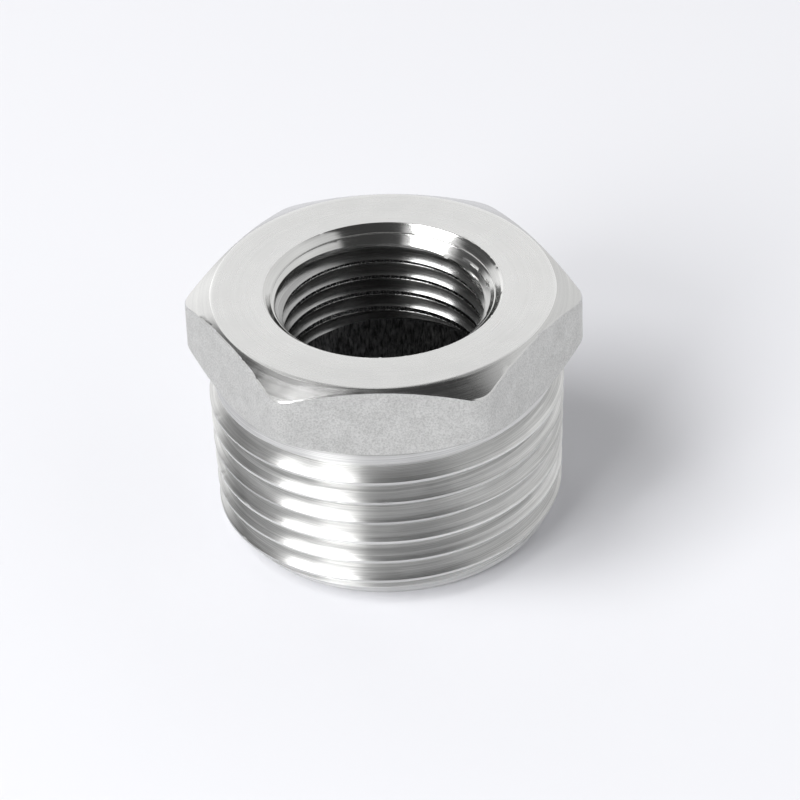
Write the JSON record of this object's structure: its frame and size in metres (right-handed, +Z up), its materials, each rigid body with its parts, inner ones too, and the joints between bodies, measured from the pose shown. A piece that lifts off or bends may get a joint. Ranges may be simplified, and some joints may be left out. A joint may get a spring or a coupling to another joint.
{
  "type": "hex bushing",
  "caption": "Reducing pipe bushing: a tapered outside thread under a hexagon head, with a smaller threaded bore from the top and a cast hollow below it.",
  "frame": {"origin": "centre of the thread end face, which it stands on", "axes": "+Z up along the axis, out of the bore's mouth; +X through a corner of the hexagon"},
  "size_m": [0.0372, 0.0336, 0.0245],
  "materials": {
    "body": "turned bright on the threads, top face and chamfers, sand-blasted cast skin on the hexagon's flats"
  },
  "bodies": {
    "root": {"hex_bushing": "body"}
  },
  "joints": []
}
